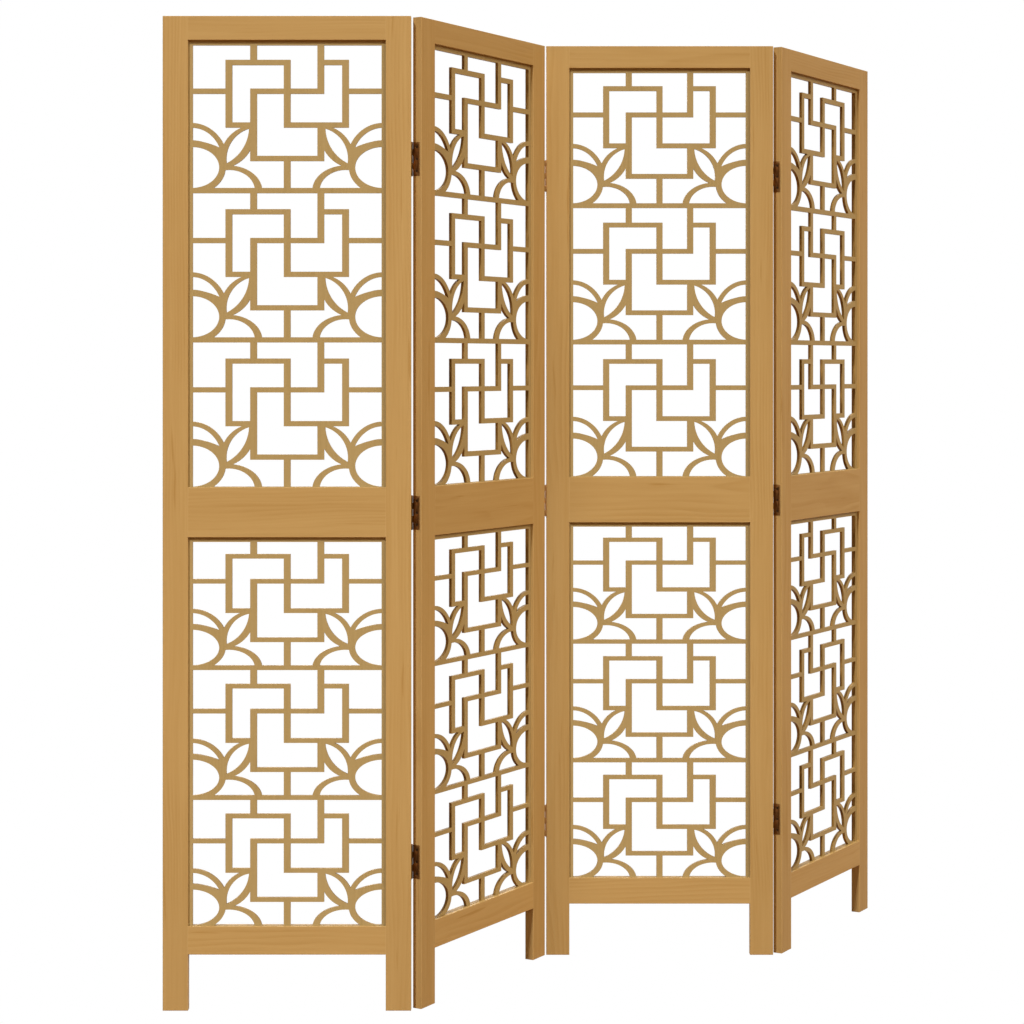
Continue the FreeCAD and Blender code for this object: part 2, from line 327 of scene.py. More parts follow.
def wood_grain_group() -> bpy.types.NodeTree:
    """Builds the grain of sawn softwood, with the pith along the z axis of its vector.

    Returns:
        The group. Its rings lie round the z axis, so that faces show them as stripes along the grain
        and sawn ends as arcs. Its streaks and fibres run along z.
    """
    graph, given, result = new_group(
        "wood_grain",
        {"Vector": "Vector", "Light": "Color", "Dark": "Color", "Ring Spacing": "Float",
         "Ring Strength": "Float", "Streak Strength": "Float", "Fibre Strength": "Float"},
        {"Color": "Color", "Figure": "Float", "Height": "Float"},
    )
    wander = graph.noise(given["Vector"], WANDER).outputs[1]
    sway = graph.vector_math("SUBTRACT", wander, WANDER_MIDDLE)
    bent = graph.vector_math("ADD", given["Vector"], graph.vector_math("MULTIPLY", sway, WANDER_REACH))
    x, y, _ = graph.split(bent)
    year = graph.math("FRACT", graph.math("DIVIDE", graph.radius(x, y), given["Ring Spacing"]))
    ring = graph.math("MULTIPLY", graph.span(year, EARLY_WOOD), graph.span(year, LATE_WOOD, (1.0, 0.0)))
    patches = graph.noise(given["Vector"], RING_PATCHES).outputs[0]
    ring = graph.math("MULTIPLY", ring, graph.span(patches, PATCH_LIMITS, PATCH_STRENGTHS))
    streak = graph.noise(bent, FINE_STREAKS).outputs[0]
    broad = graph.noise(bent, BROAD_STREAKS).outputs[0]
    fibre = graph.noise(given["Vector"], FIBRES).outputs[0]
    figure = graph.math("MULTIPLY", ring, given["Ring Strength"])
    for layer, strength in ((streak, given["Streak Strength"]), (broad, given["Streak Strength"]),
                            (fibre, given["Fibre Strength"])):
        figure = graph.math("MULTIPLY_ADD", graph.math("SUBTRACT", layer, MIDDLE_NOISE), strength, figure)
    rare = graph.span(graph.noise(bent, RARE_STREAKS).outputs[0], RARE_LIMITS)
    figure = graph.math("MULTIPLY_ADD", rare, given["Streak Strength"], figure)
    figure = graph.math("ADD", figure, MIDDLE_FIGURE, clamp=True)
    graph.feed(result["Color"], graph.mix(figure, given["Light"], given["Dark"]))
    graph.feed(result["Figure"], figure)
    graph.feed(result["Height"], graph.math("MULTIPLY_ADD", ring, RING_HEIGHT, fibre))
    return graph.tree


# How the rubbing of the edges comes and goes along them
RUB_PATCHES = Layer((60.0, 60.0, 12.0), detail=3.0, roughness=0.6)
RUB_LIMITS = (0.3, 0.7)
RUB_STRENGTHS = (0.35, 1.5)


def edge_wear_group() -> bpy.types.NodeTree:
    """Builds the mask of the rubbed edges of a block, 1 on its edges and 0 on its faces.

    Returns:
        The group. Its vector is the place from the block's centre.
    """
    graph, given, result = new_group(
        "edge_wear",
        {"Vector": "Vector", "Half Size": "Vector", "Width": "Float"},
        {"Mask": "Float"},
    )
    out = graph.vector_math("ABSOLUTE", given["Vector"])
    x, y, z = graph.split(graph.vector_math("SUBTRACT", given["Half Size"], out))
    lower = graph.math("MINIMUM", x, y)
    upper = graph.math("MAXIMUM", x, y)
    second = graph.math("MAXIMUM", lower, graph.math("MINIMUM", upper, z))
    patches = graph.noise(given["Vector"], RUB_PATCHES).outputs[0]
    reach = graph.math("MULTIPLY", given["Width"], graph.span(patches, RUB_LIMITS, RUB_STRENGTHS))
    share = graph.math("DIVIDE", second, reach, clamp=True)
    graph.feed(result["Mask"], graph.math("SUBTRACT", 1.0, share, clamp=True))
    return graph.tree


# How deep under a sheet's face the burn starts, and how it varies along the cut
BURN_DEPTHS = (0.00002, 0.00012)
BURN_BLOTCHES = Layer((24.0, 160.0, 24.0), detail=3.0, roughness=0.6)
BURN_LIMITS = (0.25, 0.68)


def burnt_cut_group() -> bpy.types.NodeTree:
    """Builds the mask of the sides that a hot cut left on a sheet, 1 between its two faces.

    Returns:
        The group. The y of its vector is the place from the middle of the sheet's thickness.
    """
    graph, given, result = new_group(
        "burnt_cut",
        {"Vector": "Vector", "Half Thickness": "Float", "Char": "Color", "Ember": "Color"},
        {"Mask": "Float", "Color": "Color"},
    )
    _, y, _ = graph.split(given["Vector"])
    within = graph.math("SUBTRACT", given["Half Thickness"], graph.math("ABSOLUTE", y))
    graph.feed(result["Mask"], graph.span(within, BURN_DEPTHS))
    burn = graph.span(graph.noise(given["Vector"], BURN_BLOTCHES).outputs[0], BURN_LIMITS)
    graph.feed(result["Color"], graph.mix(burn, given["Char"], given["Ember"]))
    return graph.tree


# The tarnish, as clouds with specks in them
TARNISH_CLOUDS = Layer((1.0, 1.0, 1.0), detail=4.0, roughness=0.6)
TARNISH_SPECKS = Layer((9.0, 9.0, 9.0), detail=2.0, roughness=0.6)
CLOUD_SHARE = 0.85
SPECK_SHARE = 0.15
TARNISH_LIMITS = (0.3, 0.7)


def patina_group() -> bpy.types.NodeTree:
    """Builds the tarnish of an antique finished metal.

    Returns:
        The group, whose mask is 1 where the metal is bright.
    """
    graph, given, result = new_group(
        "patina",
        {"Vector": "Vector", "Bright": "Color", "Dark": "Color", "Scale": "Float"},
        {"Color": "Color", "Mask": "Float", "Height": "Float"},
    )
    place = graph.vector_math("MULTIPLY", given["Vector"], given["Scale"])
    cloud = graph.noise(place, TARNISH_CLOUDS).outputs[0]
    speck = graph.noise(place, TARNISH_SPECKS).outputs[0]
    both = graph.math("MULTIPLY_ADD", speck, SPECK_SHARE, graph.math("MULTIPLY", cloud, CLOUD_SHARE))
    mask = graph.span(both, TARNISH_LIMITS)
    graph.feed(result["Color"], graph.mix(mask, given["Dark"], given["Bright"]))
    graph.feed(result["Mask"], mask)
    graph.feed(result["Height"], speck)
    return graph.tree


# How fast the knuckles' mask and the painted shade beside a fold fade
KNUCKLE_FADE_SHARE = 1.2
FOLD_FADING = 2.0


def knuckles_group() -> bpy.types.NodeTree:
    """Builds the mask of a leaf's knuckles, 1 inside their radius and 0 on the flat of the leaf.

    Returns:
        The group. Its vector and its upright axis are places from the leaf's centre.
    """
    graph, given, result = new_group(
        "knuckles",
        {"Vector": "Vector", "Axis": "Vector", "Radius": "Float"},
        {"Mask": "Float"},
    )
    x, y, _ = graph.split(graph.vector_math("SUBTRACT", given["Vector"], given["Axis"]))
    end = graph.math("MULTIPLY", given["Radius"], KNUCKLE_FADE_SHARE)
    graph.feed(result["Mask"], graph.span(graph.radius(x, y), (given["Radius"], end), (1.0, 0.0)))
    return graph.tree


def painted_shade_group() -> bpy.types.NodeTree:
    """Builds the mask of painted shade on a panel, at its feet and beside its left fold.

    Returns:
        The group. Its vector is the place from a piece's centre, and the floor, the edge at the fold
        and the heights between which the painted shade beside it thins out are measured from there too.
    """
    graph, given, result = new_group(
        "painted_shade",
        {"Vector": "Vector", "Floor": "Float", "Foot Reach": "Float", "Foot Amount": "Float",
         "Edge": "Float", "Fold Reach": "Float", "Fold Amount": "Float", "Low": "Float", "High": "Float"},
        {"Mask": "Float"},
    )
    across, _, height = graph.split(given["Vector"])
    foot_end = graph.math("ADD", given["Floor"], given["Foot Reach"])
    foot = graph.span(height, (given["Floor"], foot_end), (given["Foot Amount"], 0.0))
    fold_end = graph.math("ADD", given["Edge"], given["Fold Reach"])
    near = graph.span(across, (given["Edge"], fold_end), (1.0, 0.0), smooth=False)
    down = graph.span(height, (given["Low"], given["High"]), (given["Fold Amount"], 0.0), smooth=False)
    fold = graph.math("MULTIPLY", graph.math("POWER", near, FOLD_FADING), down)
    unshaded = graph.math("MULTIPLY", graph.math("SUBTRACT", 1.0, foot), graph.math("SUBTRACT", 1.0, fold))
    graph.feed(result["Mask"], graph.math("SUBTRACT", 1.0, unshaded))
    return graph.tree


@dataclass(frozen=True)
class Place:
    """Where a piece is, in the axes of the panel that carries it."""

    centre: Vector
    half: Vector
    turn: float

    @classmethod
    def of(cls, node: str, turn: float) -> "Place":
        """Measures a node of the frame.

        Args:
            node: the node's name.
            turn: how far its panel is turned about z.

        Returns:
            The middle and the half size of its box in the panel's axes.
        """
        back = Matrix.Rotation(radians(-turn), 3, "Z")
        points = [back @ vertex.co for vertex in frame["nodes"][node].data.vertices]
        low = Vector(min(point[axis] for point in points) for axis in range(3))
        high = Vector(max(point[axis] for point in points) for axis in range(3))
        return cls((low + high) / 2, (high - low) / 2, turn)

    def coordinates(self, graph: Graph) -> bpy.types.NodeSocket:
        """Adds the nodes that measure a point from the piece's centre, in the panel's axes.

        Args:
            graph: the graph of the piece's material.

        Returns:
            The place, in metres.
        """
        source = graph.node("ShaderNodeTexCoord")
        mapping = graph.node("ShaderNodeMapping")
        graph.feed(mapping.inputs["Vector"], source.outputs["Object"])
        graph.feed(mapping.inputs["Rotation"], (0.0, 0.0, radians(-self.turn)))
        graph.feed(mapping.inputs["Location"], tuple(-self.centre))
        return mapping.outputs["Vector"]

    def from_centre(self, point: Vector) -> Vector:
        """Measures a point of the room from the piece's centre, in the panel's axes."""
        return Matrix.Rotation(radians(-self.turn), 3, "Z") @ point - self.centre


@dataclass(frozen=True)
class WoodFinish:
    """A stained and lacquered wood."""

    name: str
    light: Colour
    dark: Colour
    worn: Colour
    ring_spacing: float = 0.0052
    ring_strength: float = 0.2
    streak_strength: float = 0.55
    fibre_strength: float = 0.42
    pith_distance: Span = (0.05, 0.11)
    place_along_log: Span = (2.0, 40.0)
    # The panel's factor of painted shade, which darkens all its wood
    panel_shade: float = 1.0
    shade_spread: float = 0.02
    wear_width: float = 0.0012
    wear_amount: float = 0.35
    gloss_rough: float = 0.47
    gloss_fine: float = 0.39
    specular: float = 0.04
    coat: float = 0.01
    coat_roughness: float = 0.35
    relief: float = 0.00012
    relief_strength: float = 0.5
    # Painted shade: this dark colour darkens the wood near the floor and beside a panel's left fold
    painted_shade: Colour = (0.06, 0.035, 0.012)
    foot_painted_shade: float = 0.0
    foot_reach: float = 0.55
    fold_painted_shade: float = 0.0
    fold_reach: float = 0.13
    fold_heights: Span = (1.0, 1.62)
    fold_edge: float = 0.0

    def material(self, name: str, place: Place, grain: Grain, seed: int) -> bpy.types.Material:
        """Makes the finish of one piece.

        Args:
            name: the piece's name.
            place: where the piece is.
            grain: how its grain runs.
            seed: a number of its own, which picks its stretch of the grain and its shade.

        Returns:
            The material.
        """
        made, graph, shader = new_material(f"{self.name}_{name}")
        local = place.coordinates(graph)
        figure = self.figure(graph, local, grain, seed)
        wear = graph.group(GROUPS["edge_wear"], Vector=local, Half_Size=tuple(place.half),
                           Width=self.wear_width)
        rubbed = graph.math("MULTIPLY", wear.outputs["Mask"], self.wear_amount)
        colour = graph.mix(rubbed, figure.outputs["Color"], self.worn)
        # Painted shade: darker towards the floor, and beside the panel's left fold lower down
        if self.foot_painted_shade or self.fold_painted_shade:
            low, high = (level - place.centre.z for level in self.fold_heights)
            painted_shade_node = graph.group(
                GROUPS["painted_shade"], Vector=local, Floor=-place.centre.z, Foot_Reach=self.foot_reach,
                Foot_Amount=self.foot_painted_shade, Edge=self.fold_edge - place.centre.x,
                Fold_Reach=self.fold_reach, Fold_Amount=self.fold_painted_shade, Low=low, High=high,
            )
            colour = graph.mix(painted_shade_node.outputs["Mask"], colour, self.painted_shade)
        self.finish(graph, shader, colour, figure)
        return made

    def figure(self, graph: Graph, local: bpy.types.NodeSocket, grain: Grain,
               seed: int) -> bpy.types.Node:
        """Places the grain in a piece, as if it were sawn from its own part of a log.

        Args:
            graph: the graph of the piece's material.
            local: the place from the piece's centre.
            grain: how the grain runs.
            seed: a number of the piece's own.

        Returns:
            The node of the grain.
        """
        draw = Random(seed)
        reach, angle = draw.uniform(*self.pith_distance), draw.uniform(0, 2 * pi)
        pith = (reach * cos(angle), reach * sin(angle), draw.uniform(*self.place_along_log))
        # The panel's painted shade, times a shade of the piece's own that differs at random
        shade = self.panel_shade * (1 + draw.uniform(-self.shade_spread, self.shade_spread))
        mapping = graph.node("ShaderNodeMapping")
        graph.feed(mapping.inputs["Vector"], local)
        graph.feed(mapping.inputs["Rotation"], grain.value)
        graph.feed(mapping.inputs["Location"], pith)
        return graph.group(
            GROUPS["wood_grain"], Vector=mapping.outputs["Vector"],
            Light=tuple(part * shade for part in self.light), Dark=tuple(part * shade for part in self.dark),
            Ring_Spacing=self.ring_spacing, Ring_Strength=self.ring_strength,
            Streak_Strength=self.streak_strength, Fibre_Strength=self.fibre_strength,
        )

    def finish(self, graph: Graph, shader: bpy.types.Node, colour: Value, figure: bpy.types.Node) -> None:
        """Joins a colour, the gloss and the relief of the grain to the shader.

        Args:
            graph: the graph of the piece's material.
            shader: its Principled shader.
            colour: the colour of the surface.
            figure: the node of the grain.
        """
        graph.feed(shader.inputs["Base Color"], colour)
        shader.inputs["Specular IOR Level"].default_value = self.specular
        shader.inputs["Coat Weight"].default_value = self.coat
        shader.inputs["Coat Roughness"].default_value = self.coat_roughness
        gloss = graph.span(figure.outputs["Figure"], (0.0, 1.0), (self.gloss_fine, self.gloss_rough),
                           smooth=False)
        graph.feed(shader.inputs["Roughness"], gloss)
        bump = graph.node("ShaderNodeBump")
        graph.feed(bump.inputs["Distance"], self.relief)
        graph.feed(bump.inputs["Strength"], self.relief_strength)
        graph.feed(bump.inputs["Height"], figure.outputs["Height"])
        graph.feed(shader.inputs["Normal"], bump.outputs["Normal"])


@dataclass(frozen=True)
class FretFinish(WoodFinish):
    """A stained sheet whose openings were cut hot, which left their sides dark."""

    char: Colour = (0.14, 0.07, 0.013)
    ember: Colour = (0.43, 0.27, 0.085)

    def material(self, name: str, place: Place, grain: Grain, seed: int) -> bpy.types.Material:
        """Makes the finish of one lattice.

        Args:
            name: the lattice's name.
            place: where the lattice is.
            grain: how the grain of its faces runs.
            seed: a number of its own.

        Returns:
            The material.
        """
        made, graph, shader = new_material(f"{self.name}_{name}")
        local = place.coordinates(graph)
        figure = self.figure(graph, local, grain, seed)
        cut = graph.group(GROUPS["burnt_cut"], Vector=local, Half_Thickness=place.half.y,
                          Char=self.char, Ember=self.ember)
        colour = graph.mix(cut.outputs["Mask"], figure.outputs["Color"], cut.outputs["Color"])
        self.finish(graph, shader, colour, figure)
        return made


@dataclass(frozen=True)
class MetalFinish:
    """An antique finished metal, bright where it is rubbed and dark where it has tarnished."""

    name: str
    bright: Colour
    dark: Colour
    rubbed: Colour
    cloud_scale: float = 120.0
    smooth: float = 0.3
    dull: float = 0.5
    # Painted shade: knuckles of a fold with its pin at the back get this dark colour, lying in shade
    knuckle_shade: Colour = (0.05, 0.024, 0.007)
    wear_width: float = 0.0005
    wear_amount: float = 0.55
    knuckle_shade_amount: float = 0.8
    knuckle_radius: float = 0.0016
    edge_tint: Colour = (0.45, 0.28, 0.13)
    relief: float = 0.00004

    def material(self, name: str, place: Place, barrel: Vector | None = None,
                 side: Side | None = None) -> bpy.types.Material:
        """Makes the finish of one metal piece.

        Args:
            name: the piece's name.
            place: where the piece is.
            barrel: a point on the axis of the knuckles, if it has any.
            side: where the knuckles stand: hands rub them bright in front, and behind they get painted
                shade.

        Returns:
            The material.
        """
        made, graph, shader = new_material(f"{self.name}_{name}")
        local = place.coordinates(graph)
        patina = graph.group(GROUPS["patina"], Vector=local, Bright=self.bright, Dark=self.dark,
                             Scale=self.cloud_scale)
        wear = graph.group(GROUPS["edge_wear"], Vector=local, Half_Size=tuple(place.half),
                           Width=self.wear_width)
        rubbed = graph.math("MULTIPLY", wear.outputs["Mask"], self.wear_amount)
        colour = graph.mix(rubbed, patina.outputs["Color"], self.rubbed)
        if barrel is not None:
            front = side is Side.FRONT
            knuckles = graph.group(GROUPS["knuckles"], Vector=local, Axis=tuple(place.from_centre(barrel)),
                                   Radius=self.knuckle_radius)
            # Painted shade on the knuckles behind the panels; in front, hands rub them bright
            share = graph.math("MULTIPLY", knuckles.outputs["Mask"],
                               self.wear_amount if front else self.knuckle_shade_amount)
            colour = graph.mix(share, colour, self.rubbed if front else self.knuckle_shade)
        graph.feed(shader.inputs["Base Color"], colour)
        shader.inputs["Metallic"].default_value = 1.0
        shader.inputs["Specular Tint"].default_value = (*self.edge_tint, 1.0)
        gloss = graph.span(patina.outputs["Mask"], (0.0, 1.0), (self.dull, self.smooth), smooth=False)
        graph.feed(shader.inputs["Roughness"], gloss)
        bump = graph.node("ShaderNodeBump")
        graph.feed(bump.inputs["Distance"], self.relief)
        graph.feed(bump.inputs["Height"], patina.outputs["Height"])
        graph.feed(shader.inputs["Normal"], bump.outputs["Normal"])
        return made


def new_material(name: str) -> tuple[bpy.types.Material, Graph, bpy.types.Node]:
    """Starts a material with one Principled shader.

    Args:
        name: the material's name.

    Returns:
        The material, its graph and its shader.
    """
    made = bpy.data.materials.new(name)
    made.use_nodes = True
    made.node_tree.nodes.clear()
    graph = Graph(made.node_tree)
    shader = graph.node("ShaderNodeBsdfPrincipled")
    output = graph.node("ShaderNodeOutputMaterial")
    graph.feed(output.inputs["Surface"], shader.outputs["BSDF"])
    return made, graph, shader


GROUPS = {
    "wood_grain": wood_grain_group(),
    "edge_wear": edge_wear_group(),
    "burnt_cut": burnt_cut_group(),
    "patina": patina_group(),
    "knuckles": knuckles_group(),
    "painted_shade": painted_shade_group(),
}

# Each finish has its light, dark and worn colour, in that order
FRAME_WOOD = WoodFinish("stained_pine", (0.53, 0.354, 0.139), (0.418, 0.25, 0.079), (0.585, 0.41, 0.185))
# The posts get painted shade towards the floor
POST_WOOD = replace(FRAME_WOOD, foot_painted_shade=0.09)
FRETWORK = FretFinish("stained_sheet", (0.445, 0.333, 0.149), (0.366, 0.26, 0.1), (0.46, 0.355, 0.17),
                      ring_strength=0.15, streak_strength=0.35)
DOWEL_WOOD = WoodFinish("pale_beech", (0.60, 0.43, 0.26), (0.47, 0.31, 0.17), (0.62, 0.46, 0.3), coat=0.0)
BRONZE = MetalFinish("antique_bronze", (0.3, 0.155, 0.055), (0.16, 0.077, 0.024), (0.45, 0.225, 0.08))
SCREW_METAL = MetalFinish("dark_screw", (0.12, 0.07, 0.04), (0.05, 0.028, 0.015), (0.22, 0.13, 0.075))
PIN_METAL = MetalFinish("bronze_pin", (0.38, 0.2, 0.08), (0.24, 0.12, 0.05), (0.5, 0.29, 0.14))

# How far painted shade darkens the wood of each panel as a whole, and how much lies beside its left fold
PANEL_PAINTED_SHADE = (1.0, 0.99, 0.97, 0.97)
PANEL_FOLD_SHADE = (0.0, 0.0, 0.225, 0.0)


def dress(piece: bpy.types.Object, material: bpy.types.Material) -> None:
    """Gives a piece its finish.

    Args:
        piece: the piece.
        material: its material.
    """
    piece.data.materials.clear()
    piece.data.materials.append(material)


@dataclass
class Panel:
    """One panel: a frame of stiles and rails, two lattice sheets and the dowels in the joints."""

    number: int
    turn: float
    # The panel's factor of painted shade, and the painted shade beside its left fold
    panel_shade: float = 1.0
    fold_painted_shade: float = 0.0
    stiles: tuple[str, ...] = ("left_stile", "right_stile")
    rails: tuple[str, ...] = ("top_rail", "middle_rail", "bottom_rail")
    lattices: tuple[str, ...] = ("upper_lattice", "lower_lattice")

    def dress(self) -> None:
        """Dresses every wooden piece of the panel."""
        jobs = [(name, POST_WOOD, Grain.UPRIGHT, "frame_wood") for name in self.stiles]
        jobs += [(name, FRAME_WOOD, Grain.LEVEL, "frame_wood") for name in self.rails]
        jobs += [(name, FRETWORK, Grain.UPRIGHT, "lattice_wood") for name in self.lattices]
        jobs.append(("dowels", DOWEL_WOOD, Grain.LEVEL, "dowel_wood"))
        edge = self.left_edge()
        for index, (name, finish, grain, slot) in enumerate(jobs):
            node = f"panel_{self.number}_{name}"
            seed = self.number * len(jobs) + index
            # The finish takes the panel's painted shade, as a whole and beside its left fold
            shaded_finish = replace(finish, panel_shade=self.panel_shade, fold_painted_shade=self.fold_painted_shade, fold_edge=edge)
            material = shaded_finish.material(node, Place.of(node, self.turn), grain, seed)
            dress(frame["nodes"][node], material)
            log.info("%s: %s", node, material.name)

    def left_edge(self) -> float:
        """The place of the panel's left edge along x, in the panel's axes."""
        stile = Place.of(f"panel_{self.number}_{self.stiles[0]}", self.turn)
        return stile.centre.x - stile.half.x


@dataclass
class Screw:
    """A countersunk wood screw with a cross recess, pointing down from its head at the origin."""

    head_radius: float = 0.0022
    shank_radius: float = 0.0012
    core_radius: float = 0.00085
    length: float = 0.014
    tip_length: float = 0.003
    plain_length: float = 0.003
    recess_reach: float = 0.00125
    recess_half_width: float = 0.0003
    recess_depth: float = 0.0011
    recess_taper_share: float = 0.55
    thread_pitch: float = 0.0011
    thread_half_height_share: float = 0.36
    thread_root_share: float = 0.9
    thread_steps_per_turn: int = 10
    shoulder_share: float = 0.5
    weld_share: float = 0.01

    def build(self) -> bmesh.types.BMesh:
        """Makes the screw.

        Returns:
            Its mesh.
        """
        made = bmesh.new()
        corners = self.head(made)
        self.body(made, corners)
        bmesh.ops.remove_doubles(made, verts=made.verts, dist=self.core_radius * self.weld_share)
        bmesh.ops.recalc_face_normals(made, faces=made.faces)
        self.thread(made)
        return made

    def head(self, made: bmesh.types.BMesh) -> int:
        """Makes the flat of the head, with its cross recess.

        Args:
            made: the mesh to add it to.

        Returns:
            How many corners the head's rim has, evenly spaced.
        """
        stops = (self.head_radius, self.recess_reach, self.recess_half_width)
        levels = [-stops[0], -stops[1], -stops[2], stops[2], stops[1], stops[0]]
        cells = len(levels) - 1
        bmesh.ops.create_grid(made, x_segments=cells, y_segments=cells, size=1.0)
        for vertex in made.verts:
            column, row = (round((vertex.co[axis] + 1) / 2 * cells) for axis in range(2))
            vertex.co = Vector((levels[column], levels[row], 0.0))
        cross = [face for face in made.faces if self.in_recess(face.calc_center_median())]
        rim = [vertex for vertex in made.verts if vertex.is_boundary]
        rim.sort(key=lambda vertex: atan2(vertex.co.y, vertex.co.x) % (2 * pi))
        for index, vertex in enumerate(rim):
            vertex.co = self.rim_direction(index, len(rim)) * self.head_radius
        sunk = bmesh.ops.extrude_face_region(made, geom=cross)["geom"]
        floor = [item for item in sunk if isinstance(item, bmesh.types.BMVert)]
        bmesh.ops.scale(made, vec=(self.recess_taper_share, self.recess_taper_share, 1.0), verts=floor)
        bmesh.ops.translate(made, vec=(0.0, 0.0, -self.recess_depth), verts=floor)
        return len(rim)

    def in_recess(self, point: Vector) -> bool:
        """Whether a point of the head's flat lies in the cross."""
        near, far = sorted((abs(point.x), abs(point.y)))
        return near < self.recess_half_width and far < self.recess_reach

    def rim_direction(self, index: int, corners: int) -> Vector:
        """The direction from the middle of the head to one corner of its rim."""
        angle = (index + 0.5) * 2 * pi / corners
        return Vector((cos(angle), sin(angle), 0.0))

    def body(self, made: bmesh.types.BMesh, corners: int) -> None:
        """Turns the cone, the shank and the tip.

        Args:
            made: the mesh that holds the head.
            corners: how many corners the head's rim has.
        """
        cone = self.head_radius - self.shank_radius
        outline = [(self.head_radius, 0.0), (self.shank_radius, cone),
                   (self.shank_radius, self.plain_length),
                   (self.core_radius, self.plain_length + cone * self.shoulder_share),
                   (self.core_radius, self.length - self.tip_length), (0.0, self.length)]
        lead = self.rim_direction(0, corners)
        points = [made.verts.new(lead * radius - Vector((0.0, 0.0, depth))) for radius, depth in outline]
        edges = [made.edges.new(pair) for pair in zip(points, points[1:])]
        bmesh.ops.spin(made, geom=points + edges, cent=(0, 0, 0), axis=(0, 0, 1), angle=2 * pi,
                       steps=corners, use_merge=True)

    def thread(self, made: bmesh.types.BMesh) -> None:
        """Winds the thread round the core as one closed rib.

        Args:
            made: the mesh of the screw.
        """
        start = self.plain_length + self.thread_pitch
        turns = (self.length - self.tip_length - start) / self.thread_pitch
        half = self.thread_pitch * self.thread_half_height_share
        inner = self.core_radius * self.thread_root_share
        corners = [made.verts.new((radius, 0.0, -start + height)) for radius, height in
                   ((inner, half), (self.shank_radius, 0.0), (inner, -half))]
        face = made.faces.new(corners)
        steps = round(turns * self.thread_steps_per_turn)
        sink = Vector((0.0, 0.0, -self.thread_pitch * turns / steps))
        spun = bmesh.ops.spin(made, geom=[face, *face.edges, *face.verts], cent=(0, 0, 0), axis=(0, 0, 1),
                              dvec=sink, angle=2 * pi * turns, steps=steps)
        rib = {face}
        front = [face, *[item for item in spun["geom_last"] if isinstance(item, bmesh.types.BMFace)]]
        while front:
            current = front.pop()
            for edge in current.edges:
                for other in edge.link_faces:
                    if other not in rib:
                        rib.add(other)
                        front.append(other)
        bmesh.ops.recalc_face_normals(made, faces=list(rib))


